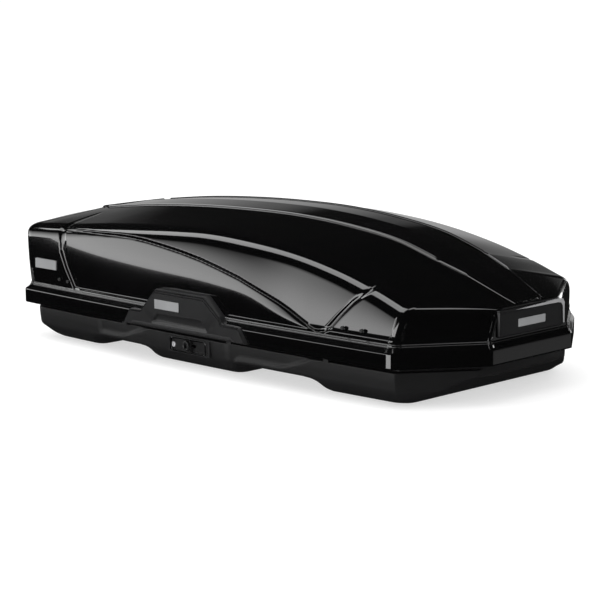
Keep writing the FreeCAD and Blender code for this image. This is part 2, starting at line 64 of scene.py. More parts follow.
# ---------------------------------------------------------------- small helpers
def smooth_curve(table, overshoot=True):
    """Smooth function through a table of (place, value) points, level beyond its ends."""
    xs = np.array([row[0] for row in table], float)
    ys = np.array([row[1] for row in table], float)
    slopes = np.gradient(ys, xs)
    if not overshoot:
        rise = np.diff(ys) / np.diff(xs)
        same = rise[:-1] * rise[1:] > 0
        slopes[1:-1] = np.where(same, 2 * rise[:-1] * rise[1:] / np.where(same, rise[:-1] + rise[1:], 1), 0)

    def value(x):
        x = np.clip(np.asarray(x, float), xs[0], xs[-1])
        i = np.clip(np.searchsorted(xs, x) - 1, 0, len(xs) - 2)
        gap = xs[i + 1] - xs[i]
        t = (x - xs[i]) / gap
        return ((1 + 2 * t) * (1 - t) ** 2 * ys[i] + t * (1 - t) ** 2 * gap * slopes[i]
                + t * t * (3 - 2 * t) * ys[i + 1] + t * t * (t - 1) * gap * slopes[i + 1])

    return value


def step(low, high, x):
    """Smooth rise from 0 at low to 1 at high; low may be the greater."""
    t = np.clip((np.asarray(x, float) - low) / (high - low), 0, 1)
    return t * t * (3 - 2 * t)


def to_line(points, line):
    """Distance of each 2-D point from an open line of points."""
    points = np.asarray(points, float)
    best = np.full(len(points), 1e9)
    for a, b in zip(line, line[1:]):
        a, b = np.array(a, float), np.array(b, float)
        t = np.clip(((points - a) @ (b - a)) / ((b - a) @ (b - a)), 0, 1)
        best = np.minimum(best, np.linalg.norm(points - (a + t[:, None] * (b - a)), axis=1))
    return best


def channel(distance, width, depth, edge):
    """Depth of a flat-bottomed channel with soft edges."""
    return depth * (1 - step(width / 2 - edge, width / 2 + edge, distance))


def add_object(name, data):
    item = bpy.data.objects.new(name, data)
    bpy.context.scene.collection.objects.link(item)
    return item


def shade_smooth(mesh):
    mesh.polygons.foreach_set("use_smooth", [True] * len(mesh.polygons))


def skin(name, rows, lift, body, look):
    """Welded sheet through the rows of points and their mirror image, thickened inwards by a modifier."""
    high, wide = rows.shape[:2]
    points = rows.reshape(-1, 3)
    whole = np.vstack([points, points * (1, -1, 1)]) + (MIDDLE_X, 0, lift)
    faces = [(i * wide + j, i * wide + j + 1, (i + 1) * wide + j + 1, (i + 1) * wide + j)
             for i in range(high - 1) for j in range(wide - 1)]
    faces += [tuple(len(points) + v for v in reversed(face)) for face in faces]
    mesh = bpy.data.meshes.new(name)
    mesh.from_pydata(whole.tolist(), [], faces)
    mesh.materials.append(look)
    edit = bmesh.new()
    edit.from_mesh(mesh)
    bmesh.ops.remove_doubles(edit, verts=edit.verts, dist=SKIN_WELD)
    bmesh.ops.dissolve_degenerate(edit, edges=edit.edges, dist=SKIN_SLIVER)
    bmesh.ops.recalc_face_normals(edit, faces=edit.faces)
    edit.to_mesh(mesh)
    edit.free()
    shade_smooth(mesh)
    piece = add_object(name, mesh)
    thick = piece.modifiers.new("wall", "SOLIDIFY")
    thick.thickness = SKIN_WALL
    thick.offset = -1
    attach(piece, body)
    return piece


def save_piece(edit, name, body, look):
    """New piece from a bmesh, riding on a body."""
    bmesh.ops.recalc_face_normals(edit, faces=edit.faces)
    mesh = bpy.data.meshes.new(name)
    edit.to_mesh(mesh)
    edit.free()
    shade_smooth(mesh)
    mesh.set_sharp_from_angle(angle=math.radians(PIECE_SHARP))
    mesh.materials.append(look)
    piece = add_object(name, mesh)
    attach(piece, body)
    return piece


def apply_modifiers(piece):
    bpy.context.view_layer.update()
    graph = bpy.context.evaluated_depsgraph_get()
    mesh = bpy.data.meshes.new_from_object(piece.evaluated_get(graph))
    old = piece.data
    piece.modifiers.clear()
    piece.data = mesh
    bpy.data.meshes.remove(old)


# ---------------------------------------------------------------- materials
BUMP_DISTANCE = 0.0006
DRIFT_DETAIL, GRAIN_DETAIL = 5, 3  # octaves of the noise
DRIFT_RAMP = ((0.3, -0.6), (0.7, 0.6))  # (place on the drift, change of colour there)


def add_noise(tree, scale, detail):
    """Noise over the object's own coordinates."""
    place = tree.nodes.new("ShaderNodeTexCoord")
    noise = tree.nodes.new("ShaderNodeTexNoise")
    noise.inputs["Scale"].default_value = scale
    noise.inputs["Detail"].default_value = detail
    tree.links.new(place.outputs["Object"], noise.inputs["Vector"])
    return noise.outputs["Fac"]


def add_bump(tree, height, strength):
    """Bump on the shader's normal, from a texture's output."""
    bump = tree.nodes.new("ShaderNodeBump")
    bump.inputs["Strength"].default_value = strength
    bump.inputs["Distance"].default_value = BUMP_DISTANCE
    tree.links.new(height, bump.inputs["Height"])
    tree.links.new(bump.outputs["Normal"], tree.nodes["Principled BSDF"].inputs["Normal"])


def material(name, color, rough, metal=0.0, coat=0.0, coat_rough=0.03,
             grain=0.0, grain_scale=400.0, vary=0.0, vary_scale=9.0):
    """Moulded or plated finish: colour and roughness drift over the surface, grain in the bump."""
    made = bpy.data.materials.new(name)
    made.use_nodes = True
    tree = made.node_tree
    shader = tree.nodes["Principled BSDF"]
    shader.inputs["Metallic"].default_value = metal
    shader.inputs["Coat Weight"].default_value = coat
    shader.inputs["Coat Roughness"].default_value = coat_rough
    drift = add_noise(tree, vary_scale, DRIFT_DETAIL)
    tint = tree.nodes.new("ShaderNodeMapRange")
    tint.inputs["To Min"].default_value = rough * (1 - vary)
    tint.inputs["To Max"].default_value = rough * (1 + vary)
    tree.links.new(drift, tint.inputs["Value"])
    tree.links.new(tint.outputs["Result"], shader.inputs["Roughness"])
    blend = tree.nodes.new("ShaderNodeValToRGB")
    for element, (position, change) in zip(blend.color_ramp.elements, DRIFT_RAMP):
        element.position = position
        element.color = [*[c * (1 + change * vary) for c in color], 1]
    tree.links.new(drift, blend.inputs["Fac"])
    tree.links.new(blend.outputs["Color"], shader.inputs["Base Color"])
    if grain:
        add_bump(tree, add_noise(tree, grain_scale, GRAIN_DETAIL), grain)
    return made


GLOSS = material("gloss_black_sheet", (0.0012, 0.0012, 0.0013), 0.10, coat=1.0, coat_rough=0.02,
                 grain=0.012, grain_scale=60, vary=0.2)
BASE = material("grained_black_base", (0.0080, 0.0080, 0.0084), 0.50,
                grain=0.4, grain_scale=900, vary=0.12)
PLASTIC = material("satin_black_plastic", (0.0125, 0.0125, 0.013), 0.31,
                   grain=0.25, grain_scale=1200, vary=0.12)
RUBBER = material("black_rubber", (0.012, 0.012, 0.012), 0.75, grain=0.3, grain_scale=700, vary=0.1)
ZINC = material("zinc_plate", (0.55, 0.55, 0.57), 0.32, metal=1.0, grain=0.1, grain_scale=500, vary=0.2)
DARK_STEEL = material("satin_black_steel", (0.02, 0.02, 0.02), 0.35, coat=0.3, grain=0.1, vary=0.15)
PLATE = material("satin_silver_plate", (0.24, 0.243, 0.247), 0.34, metal=0.15,
                 grain=0.2, grain_scale=300, vary=0.15)
KEY_STEEL = material("satin_key_steel", (0.62, 0.62, 0.64), 0.25, metal=0.35,
                     grain=0.1, grain_scale=500, vary=0.15)
# painted highlight: light grey finish of the nose strip, standing in for the reflection on the chamfer round
# the nose plate
PAINTED_HIGHLIGHT_LOOK = material("light_strip_painted_highlight", (0.24, 0.24, 0.245), 0.22, coat=0.6,
                grain=0.05, vary=0.2, vary_scale=20)
NYLON = material("natural_nylon", (0.62, 0.61, 0.57), 0.45, grain=0.1, vary=0.1)
NOSE_PLATE = material("dark_satin_plate", (0.007, 0.007, 0.0075), 0.42,
                      grain=0.05, grain_scale=300, vary=0.2)


def webbing():
    """Woven strap: a fine twill in the bump."""
    made = material("woven_strap", (0.02, 0.02, 0.022), 0.8, vary=0.2, vary_scale=60)
    tree = made.node_tree
    place = tree.nodes.new("ShaderNodeTexCoord")
    wave = tree.nodes.new("ShaderNodeTexWave")
    wave.bands_direction = "DIAGONAL"
    wave.inputs["Scale"].default_value = 260
    tree.links.new(place.outputs["Object"], wave.inputs["Vector"])
    add_bump(tree, wave.outputs["Fac"], 0.6)
    return made


STRAP = webbing()
NODE_LOOKS = (
    ("rim_seal", RUBBER), ("crossbar_seats", RUBBER), ("load_straps", STRAP), ("strap_buckles", PLASTIC),
    ("reinforcement_rail", ZINC), ("rail_bolts", ZINC), ("lid_rib", ZINC), ("lifter_brackets", ZINC),
    ("lifter_springs", ZINC), ("hinge_pins", ZINC), ("latch_rod", ZINC), ("lid_screws", DARK_STEEL),
    ("lock_cylinder", KEY_STEEL), ("hinge_saddles", BASE), ("nose_badge_frame", NOSE_PLATE),
    ("nose_badge_plate", NOSE_PLATE), ("tail_badges", PLATE), ("handle_badges", PLATE),
    ("lifter_arm", DARK_STEEL), ("glide_pads", NYLON), ("hinge_bushes", NYLON), ("claw", PLASTIC),
    ("base_shell", BASE), ("lid_shell", GLOSS),
)
for node, item in NODES.items():
    look = next((m for word, m in NODE_LOOKS if word in node), PLASTIC)
    item.data.materials.clear()
    item.data.materials.append(look)


# ---------------------------------------------------------------- lid surface
SHOULDER_Z = smooth_curve((
    (-.912, .244), (-.8875, .247), (-.731, .258), (-.5365, .276), (-.35, .290), (-.20, .299), (-.084, .303),
    (.085, .296), (.248, .280), (.327, .268), (.405, .253), (.482, .236), (.557, .216), (.631, .194),
    (.686, .175), (.722, .163)))
PANEL_Y = smooth_curve((
    (-.79, .140), (-.569, .135), (-.341, .130), (-.122, .127), (.086, .122), (.284, .117), (.474, .112),
    (.613, .107)))
PANEL_Z = smooth_curve((
    (-.79, .292), (-.569, .318), (-.341, .335), (-.122, .3425), (.086, .3415), (.284, .327), (.474, .298),
    (.613, .256)))
CREASE = ((.613, .107, .256), (.716, .090, .220), (.827, .071, .171), (.859, .064, .157))
LOWER_FLANK_SLOPE = .168  # lean of the flank below its crease
BAND_HALF, BAND_BOW, WIDEST_X = .4325, .0334, .063  # plan of the band: half width, bow, widest place
REAR_BAND_X, REAR_TOP_X = -.903, -.910
NOSE_BAND_X, NOSE_TOP_X = .8735, .861
SHOULDER_HALF = .3745
PANEL_REAR_X, PANEL_FRONT_X = -.783, .613  # the raised panel's straight sides
TAIL_N, BEND_N, FLANK_N, FACET_N, CORNER_N, NOSE_N = 70, 14, 420, 110, 10, 40  # points per stretch


def band_y(x):
    return BAND_HALF - BAND_BOW * (x - WIDEST_X) ** 2


def tail_top_z(y):
    return .245 + .026 * (1 - (np.abs(y) / .345) ** 2)


def arc(a, corner, b, count):
    """Rounded corner from a to b, both short of the corner."""
    a, corner, b = (np.array(p, float) for p in (a, corner, b))
    t = np.linspace(0, 1, count)[:, None]
    return (1 - t) ** 2 * a + 2 * t * (1 - t) * corner + t * t * b


def crease_at(x):
    xs, ys, zs = zip(*CREASE)
    return np.interp(x, xs, ys), np.interp(x, xs, zs)


def band_line():
    """Plan of the band, from the middle of the tail round the right side to the middle of the nose."""
    rear_x, front_x = -.853, .690
    tail_y = -band_y(-.855)
    turn_y = tail_y + .048
    facet_start, facet_end, nose_y = (.7280, -.3930), (.869, -.1895), -.174
    x = np.linspace(rear_x, front_x, FLANK_N)
    return np.vstack([
        np.c_[np.full(TAIL_N, REAR_BAND_X), np.linspace(0, turn_y, TAIL_N)],
        arc((REAR_BAND_X, turn_y), (REAR_BAND_X, tail_y - .001), (rear_x, -band_y(rear_x)), BEND_N),
        np.c_[x, -band_y(x)],
        arc((front_x, -band_y(front_x)), (.7105, -band_y(.7105)), facet_start, BEND_N),
        np.linspace(facet_start, facet_end, FACET_N),
        arc(facet_end, (NOSE_BAND_X, -.1825), (NOSE_BAND_X, nose_y), CORNER_N),
        np.linspace((NOSE_BAND_X, nose_y), (NOSE_BAND_X, 0), NOSE_N)])


def shoulder_line():
    """Line of the shoulder, point for point with the band."""
    rear_x, front_x, turn_y = -.865, .703, -.3355
    facet_start, facet_end, nose_y = (.730, -.361, .161), (.857, -.153, .155), -.139
    y = np.linspace(0, turn_y, TAIL_N)
    x = np.linspace(rear_x, front_x, FLANK_N)
    rear = arc((REAR_TOP_X, turn_y), (REAR_TOP_X, -.3735), (rear_x, -SHOULDER_HALF), BEND_N)
    corner = arc((front_x, -SHOULDER_HALF), (.720, -SHOULDER_HALF), facet_start[:2], BEND_N)
    bend = arc(facet_end[:2], (NOSE_TOP_X, -.146), (NOSE_TOP_X, nose_y), CORNER_N)
    return np.vstack([
        np.c_[np.full(TAIL_N, REAR_TOP_X), y, tail_top_z(y)],
        np.c_[rear, np.linspace(tail_top_z(turn_y), SHOULDER_Z(rear_x), BEND_N)],
        np.c_[x, np.full(FLANK_N, -SHOULDER_HALF), SHOULDER_Z(x)],
        np.c_[corner, np.linspace(SHOULDER_Z(front_x), facet_start[2], BEND_N)],
        np.linspace(facet_start, facet_end, FACET_N),
        np.c_[bend, np.full(CORNER_N, facet_end[2])],
        np.linspace((NOSE_TOP_X, nose_y, .155), (NOSE_TOP_X, 0, .156), NOSE_N)])


def panel_line():
    """Edge of the raised panel and, ahead of it, the roof's crease, point for point with the band."""
    tail_x, corner_x, corner_y, tail_z = -.800, -.795, -.137, .2915
    x = np.linspace(PANEL_REAR_X, .700, FLANK_N)
    crease_y, crease_z = crease_at(x)
    ahead = x > PANEL_FRONT_X
    stretches = [
        np.c_[np.linspace(tail_x, corner_x, TAIL_N), np.linspace(0, corner_y, TAIL_N),
              np.full(TAIL_N, tail_z)],
        np.c_[np.linspace(corner_x, PANEL_REAR_X, BEND_N), np.linspace(corner_y, -.140, BEND_N),
              np.linspace(tail_z, PANEL_Z(PANEL_REAR_X), BEND_N)],
        np.c_[x, np.where(ahead, -crease_y, -PANEL_Y(x)), np.where(ahead, crease_z, PANEL_Z(x))]]
    for count, start, end in ((BEND_N, .700, .716), (FACET_N, .716, .854), (CORNER_N, .854, .857)):
        x = np.linspace(start, end, count)
        crease_y, crease_z = crease_at(x)
        stretches.append(np.c_[x, -crease_y, crease_z])
    nose_y, nose_z = crease_at(.857)
    return np.vstack(stretches + [np.linspace((.857, -nose_y, nose_z), (.857, 0, nose_z + .001), NOSE_N)])


# The lid's section runs from the foot of the band up the flank and over the roof to the middle.
# Rows are told apart by their place: whole numbers in the runs between knots, halves in the bends.
BAND_HIGH = .043
LEDGE = ((0, .0572), (.0008, .0602))  # (inset past the shelf, height)
WALL_FOOT = ((-.0030, .0609), (-.0026, .0652), (0, .0668))  # (inset past the wall's foot, height)
PANEL_EDGE = ((1, .0023), (4.2, .0027), (5.4, .0004), (6.6, .0034))  # (inset in edge widths, rise)
EDGE_WIDTH, PANEL_RISE, CROWN = .0026, .0044, .004
RUNS = (10, 26, 2, 2, 2, 2, 62, 60, 3, 5, 2, 2, 26)  # rows between one knot and the next
BENDS = (0, 5, 3, 2, 3, 3, 3, 16, 4, 4, 3, 3, 3, 0)  # rows round each knot
FOOT_BEND, WALL_RUN, SHOULDER_BEND, ROOF_RUN, EDGE_BEND = 5.5, 6, 6.5, 7, 7.5

SIDE_GROOVE = ((-.705, .250), (-.60, .2535), (-.51, .2555), (-.44, .2575), (-.37, .257), (-.30, .2525),
               (-.23, .2455), (-.145, .2355), (-.058, .222), (.02, .206), (.11, .185), (.19, .160),
               (.272, .132), (.315, .1145), (.351, .0985), (.39, .082), (.420, .0705))
FRONT_CHANNEL = ((.425, .0665), (.437, .0665), (.452, .0735), (.467, .084), (.505, .126), (.5425, .164),
                 (.575, .190), (.590, .203), (.596, .222))
FRONT_CHANNEL_TOP = ((.586, -.380), (.594, -.345), (.606, -.28), (.6125, -.20), (.613, -.107))
REAR_CHANNEL = ((-.712, .275), (-.7035, .225), (-.697, .187), (-.669, .136), (-.632, .082), (-.600, .050))
REAR_CHANNEL_TOP = ((-.712, -.380), (-.730, -.30), (-.756, -.22), (-.783, -.140))
REAR_LINE = np.array(REAR_CHANNEL)
GROOVE_CUT = (.0070, .0030, .0034)  # width, depth and softness of each channel
FRONT_CUT, FRONT_TOP_CUT = (.0110, .0046, .0052), (.0100, .0036, .0048)
REAR_CUT, REAR_TOP_CUT = (.024, .0060, .004), (.024, .0055, .004)
LOWER_FLANK_DEPTH = .0045
MARK_TURN = 72  # degrees that the marks turn downwards over the shoulder's bend
LOWER_BOW, UPPER_BOW, BULGE_MAX = .0032, .0026, .012
BULGE_BLUR = 30  # points on each side that the bulge is smoothed over
BEAD_HIGH = .0065
NORMAL_PASSES = 6


def inward(band):
    """Unit vectors pointing into the box, square to the band's plan."""
    along = np.gradient(band, axis=0)
    along /= np.linalg.norm(along, axis=1)[:, None]
    normal = np.c_[-along[:, 1], along[:, 0]]
    for _ in range(NORMAL_PASSES):
        normal[1:-1] = (normal[:-2] + 2 * normal[1:-1] + normal[2:]) / 4
    normal /= np.linalg.norm(normal, axis=1)[:, None]
    return np.c_[normal, np.zeros(len(band))]


def rounded_section(knots, radii, runs, bends):
    """Rows of points through the knots with every inner knot rounded off."""
    rows = []
    last = knots[0]
    for index in range(1, len(knots) - 1):
        knot = knots[index]
        before, after = knots[index - 1] - knot, knots[index + 1] - knot
        reach_before = np.linalg.norm(before, axis=1)[:, None] + 1e-9
        reach_after = np.linalg.norm(after, axis=1)[:, None] + 1e-9
        r = np.minimum(radii[index], np.minimum(reach_before, reach_after) * .48)
        end, leave = knot + before / reach_before * r, knot + after / reach_after * r
        for t in np.linspace(0, 1, runs[index - 1], endpoint=False):
            rows.append(last + (end - last) * t)
        for t in np.linspace(0, 1, bends[index], endpoint=False):
            rows.append((1 - t) ** 2 * end + 2 * t * (1 - t) * knot + t * t * leave)
        last = leave
    for t in np.linspace(0, 1, runs[-1], endpoint=False):
        rows.append(last + (knots[-1] - last) * t)
    return np.array(rows + [knots[-1]])


def row_places(runs, bends):
    places = []
    for index, (run, bend) in enumerate(zip(runs, bends[1:])):
        places += [index] * run + [index + .5] * bend
    return np.array(places + [len(runs)])


def lid_section(band, n3, tail, nose):
    """Rows of points over the right half of the lid, before its walls are bowed and marked."""
    shoulder, panel = shoulder_line(), panel_line()
    count = len(band)
    # how far the ledge's outer edge and the wall's foot stand in from the band
    shelf = .0105 + .013 * tail - .0045 * nose
    wall = .0158 + .014 * tail - .0040 * nose
    panel_x, panel_y = panel[:, 0], panel[:, 1]
    flat = step(.585, .625, panel_x)  # 1 ahead of the raised panel
    up = np.array((0, 0, 1.0))
    edge_in = np.minimum(np.abs(panel_y) * .1, EDGE_WIDTH)[:, None]
    edge_round = (.0018 - .0012 * flat)[:, None]
    to_middle = np.c_[np.zeros(count), -np.sign(panel_y), np.zeros(count)]
    centre = panel * (1, 0, 1)
    crown = CROWN * step(-.80, -.70, panel_x) * (1 - step(.75, .855, panel_x))
    centre += up * (PANEL_RISE * (1 - flat) + crown)[:, None]

    def at(inset, z):
        return np.c_[band, np.full(count, z)] + n3 * np.broadcast_to(inset, count)[:, None]

    knots = [at(0, 0), at(0, BAND_HIGH)]
    knots += [at(shelf + inset, z) for inset, z in LEDGE]
    knots += [at(wall + inset, z) for inset, z in WALL_FOOT]
    knots += [shoulder, panel]
    knots += [panel + to_middle * edge_in * reach + up * (rise * (1 - flat))[:, None]
              for reach, rise in PANEL_EDGE]
    radii = [0, .0035, .0012, .0008, .0012, .0012, .0010, .036, edge_round, .0016, .0014, .0014, .0014]
    return rounded_section(knots + [centre], radii, RUNS, BENDS)


def bow_wall(rows, place, n3, tail, nose, facet):
    """Bow the flank out in two panes, above and below the side crease, and bulge it along the crease."""
    wall_rows = np.flatnonzero((place >= WALL_RUN) & (place < ROOF_RUN))
    foot, head = rows[wall_rows[0]].copy(), rows[wall_rows[-1]].copy()
    height = head[:, 2] - foot[:, 2]
    crease = np.clip(smooth_curve(SIDE_GROOVE)(foot[:, 0]), foot[:, 2] + .02, head[:, 2] - .02)
    lean = np.linalg.norm((head - foot)[:, :2], axis=1)
    below = (crease - foot[:, 2]) / height
    bulge = np.clip(lean * below - LOWER_FLANK_SLOPE * (crease - foot[:, 2]), 0, BULGE_MAX)
    bulge *= step(.34, .14, foot[:, 0])  # fades out towards the front of the flank
    window = np.hanning(2 * BULGE_BLUR + 1)
    bulge = np.convolve(np.pad(bulge, BULGE_BLUR, mode="edge"), window / window.sum(), "valid")
    for i in wall_rows:
        t = (rows[i][:, 2] - foot[:, 2]) / height
        tent = np.where(t < below, t / below, (1 - t) / (1 - below))
        half_t = np.where(t < below, t / below, (t - below) / (1 - below))
        bow = np.sin(np.pi * np.clip(half_t, 0, 1)) * np.where(t < below, LOWER_BOW, UPPER_BOW)
        rows[i] -= n3 * ((bulge * tent + bow) * (1 - .5 * tail - .9 * nose) * (1 - .6 * facet))[:, None]


def bead_panel(rows, place, facet):
    """Low bead along the bend at the foot of the panel's edge; the roof outside it stays straight."""
    bead_rows = np.flatnonzero(place == EDGE_BEND)
    for i, t in zip(bead_rows, np.linspace(0, 1, len(bead_rows))):
        rows[i][:, 2] += BEAD_HIGH * math.sin(math.pi * t) * (1 - .75 * facet)


def flank_depth(x, z):
    """Depth of the marks on the flank: side groove, both channels and the recess below the groove."""
    flat = np.c_[x, z]
    ends_ahead = 1 - step(.405, .435, x)
    behind_channel = np.interp(-z, -REAR_LINE[:, 1], REAR_LINE[:, 0])
    recess = step(.004, -.004, z - smooth_curve(SIDE_GROOVE)(x)) * step(-.006, .006, x - behind_channel)
    recess = recess * LOWER_FLANK_DEPTH * ends_ahead
    groove = channel(to_line(flat, SIDE_GROOVE), *GROOVE_CUT) * (step(-.705, -.69, x) * ends_ahead)
    front = channel(to_line(flat, FRONT_CHANNEL), *FRONT_CUT)
    rear = channel(to_line(flat, REAR_CHANNEL), *REAR_CUT)
    on_flank = (x > -.86) & (x < .69)
    return np.maximum.reduce([recess + groove, front, rear]) * on_flank * step(.0668, .0740, z)


def cut_marks(rows, place, n3):
    """Sink the flank's marks, which turn down over the shoulder, and the roof channels' inner ends.

    The roof between the shoulder and the panel takes the flank's rule, so its channels are not cut there.
    """
    bend_rows = np.flatnonzero(place == SHOULDER_BEND)
    up = np.array((0, 0, 1.0))
    for i in np.flatnonzero(place >= FOOT_BEND):
        x, y, z = rows[i].T
        if place[i] <= ROOF_RUN:
            over = (i - bend_rows[0]) / len(bend_rows) if i in bend_rows else 0
            turn = over * math.radians(MARK_TURN)
            rows[i] += (n3 * math.cos(turn) - up * math.sin(turn)) * flank_depth(x, z)[:, None]
        else:
            front = channel(to_line(np.c_[x, y], FRONT_CHANNEL_TOP), *FRONT_TOP_CUT)
            rear = channel(to_line(np.c_[x, y], REAR_CHANNEL_TOP), *REAR_TOP_CUT)
            rows[i][:, 2] -= np.maximum(front, rear) * step(-.100, -.112, y)


def build_lid():
    band = band_line()
    n3 = inward(band)
    x = band[:, 0]
    tail, nose, facet = step(-.862, -.900, x), step(.868, .8735, x), step(.70, .73, x)
    rows = lid_section(band, n3, tail, nose)
    place = row_places(RUNS, BENDS)
    bow_wall(rows, place, n3, tail, nose, facet)
    bead_panel(rows, place, facet)
    cut_marks(rows, place, n3)
    piece = skin("lid_skin", rows, LIFT, "lid", GLOSS)
    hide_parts("lid_shell")


build_lid()


# ---------------------------------------------------------------- base skin
UNDERSIDE = ((-.868, .078), (-.862, .060), (-.848, .036), (-.820, .013), (-.785, .003), (-.750, 0),
             (-.605, 0), (-.585, .003), (-.560, .022), (-.535, .036), (-.510, .038), (-.345, .038),
             (-.325, .035), (-.303, .016), (-.285, .003), (-.265, 0), (.035, 0), (.055, .003),
             (.080, .026), (.100, .036), (.120, .038), (.350, .038), (.372, .035), (.400, .016),
             (.425, .003), (.445, 0), (.650, 0), (.690, .004), (.722, .014), (.760, .030), (.785, .048),
             (.815, .066), (.838, .076))
MIDDLE_SWEEP = ((-.500, .040), (-.456, .052), (-.400, .068), (-.362, .082), (-.320, .096), (-.255, .120))
FRONT_SWEEP = ((.150, .036), (.200, .044), (.260, .057), (.320, .076), (.375, .096), (.430, .120))
BASE_REAR_X, BASE_FRONT_X = -.868, .838
RIM_Z, RIM_FOOT_Z, FLANK_TOP_Z = .183, .102, .1005
BASE_RADII = (0, .004, .003, .012, .010, .018, .026)  # round each knot of the base's section
BASE_RUNS = (10, 4, 12, 10, 8, 6, 14)
BASE_BENDS = (0, 4, 4, 5, 6, 6, 8, 0)
DRAWN_IN, END_DRAWN_IN = .0062, .003  # how far the flank is drawn in over a crossbar, and at both ends


def base_plan(x):
    """Half width of the lid's band, which the base follows; smooth round the rear corners."""
    side = band_y(np.clip(x, -.82, .70))
    nose = np.clip((x - .70) / .165, 0, 1)
    tail = np.clip((-.82 - x) / .055, 0, 1)
    return side * (1 - nose) + .190 * nose - .062 * (1 - np.sqrt(1 - np.minimum(tail, .999) ** 2))


def swell(x, z):
    """1 where the flank of the base stands out as a bulge, 0 where it is drawn in over a crossbar."""
    middle = step(-.006, .010, smooth_curve(MIDDLE_SWEEP)(x) - z)
    middle = middle * step(-.50, -.46, x) * (1 - step(.040, .062, x))
    front = step(-.006, .010, smooth_curve(FRONT_SWEEP)(x) - z) * step(.14, .19, x)
    rear = 1 - step(-.545, -.515, x)
    return np.maximum.reduce([middle, front, rear])


def base_section():
    """Sections of the right half of the base, from the rim down to the middle of the floor."""
    x = np.concatenate([np.linspace(BASE_REAR_X, BASE_FRONT_X, 380), np.linspace(BASE_REAR_X, -.80, 30)])
    x = np.unique(np.round(x, 5))
    wide, under = base_plan(x), smooth_curve(UNDERSIDE, overshoot=False)(x)
    crease = np.maximum(.043, under + .006)
    low = under + np.minimum(.012, (crease - under) * .45)
    full = np.zeros_like(x)
    # (half width, height) of the rim, its foot, the flank, its crease, the floor's edge and its middle
    knots = [(wide - .0485, full + RIM_Z), (wide - .0485, full + RIM_FOOT_Z),
             (wide - .0285, full + FLANK_TOP_Z), (wide - .0295, np.maximum(.078, crease + .004)),
             (wide - .0350, crease), (wide - .0560, low), (wide - .098, under), (full, under)]
    knots = [np.c_[x, -y, z] for y, z in knots]
    rows = rounded_section(knots, BASE_RADII, BASE_RUNS, BASE_BENDS)
    flank = step(.112, .100, rows[:, :, 2]) * step(.012, .035, rows[:, :, 2] - under[None, :])
    outside = rows[:, :, 1] < -(wide - .060)[None, :]
    rows[:, :, 1] += DRAWN_IN * flank * outside * (1 - swell(rows[:, :, 0], rows[:, :, 2]))
    ends = step(BASE_REAR_X, -.862, x) * (1 - step(.832, BASE_FRONT_X, x))
    rows[:, :, 1] += END_DRAWN_IN * (1 - ends)[None, :]
    return rows


BOX_FACES = ((0, 1, 3, 2), (4, 6, 7, 5), (0, 4, 5, 1), (2, 3, 7, 6), (0, 2, 6, 4), (1, 5, 7, 3))
FINGER_UNITS = (-.400, .060, .450)  # x of the latch fingers' slots, three a side
FINGER_X, FINGER_Y, FINGER_Z = (-.071, -.0195), (.340, .396), (.124, .135)
CLAMPS = ((-.425, .012), (.235, .050))  # x of a clamp and how far it slides
CLAW_REACH, CLAW_Y, CLAW_Z = .054, (.237, .263), (.020, .060)
TRAY_OUT, TRAY_IN = .01, .004  # how far a lock tray's window passes its housing


def base_windows():
    """Lowest and highest corners of each side's lock tray, three finger slots and two clamp slots."""
    windows = []
    for side, name in SIDES:
        low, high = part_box(name + "_lock_housing")
        below, above = (TRAY_IN, TRAY_OUT) if side > 0 else (TRAY_OUT, TRAY_IN)
        windows.append(((low.x, low.y - below, low.z), (high.x, high.y + above, high.z)))
        near, far = sorted(side * y for y in FINGER_Y)
        for unit in FINGER_UNITS:
            start, end = (unit + x + MIDDLE_X for x in FINGER_X)
            windows.append(((start, near, FINGER_Z[0]), (end, far, FINGER_Z[1])))
        near, far = sorted(side * y for y in CLAW_Y)
        for clamp, play in CLAMPS:
            reach = CLAW_REACH + play
            windows.append(((clamp - reach + MIDDLE_X, near, CLAW_Z[0]),
                            (clamp + reach + MIDDLE_X, far, CLAW_Z[1])))
    return windows


def base_cutter():
    points, faces = [], []
    for low, high in base_windows():
        faces += [tuple(len(points) + v for v in face) for face in BOX_FACES]
        points += [(x, y, z) for x in (low[0], high[0]) for y in (low[1], high[1]) for z in (low[2], high[2])]
    mesh = bpy.data.meshes.new("windows")
    mesh.from_pydata(points, [], faces)
    edit = bmesh.new()
    edit.from_mesh(mesh)
    bmesh.ops.recalc_face_normals(edit, faces=edit.faces)
    edit.to_mesh(mesh)
    edit.free()
    return add_object("windows", mesh)


def build_base():
    """Base skin, closed along the middle of both ends and cut through at its windows."""
    rows = base_section()
    rows = np.concatenate([rows[:, :1] * (1, 0, 1), rows, rows[:, -1:] * (1, 0, 1)], axis=1)
    piece = skin("base_skin", rows, 0, "base", BASE)
    cutter = base_cutter()
    carve = piece.modifiers.new("windows", "BOOLEAN")
    carve.operation = "DIFFERENCE"
    carve.solver = "EXACT"
    carve.object = cutter
    apply_modifiers(piece)
    bpy.data.objects.remove(cutter)
    shade_smooth(piece.data)
    piece.data.set_sharp_from_angle(angle=math.radians(SKIN_SHARP))
    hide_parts("base_shell")


build_base()


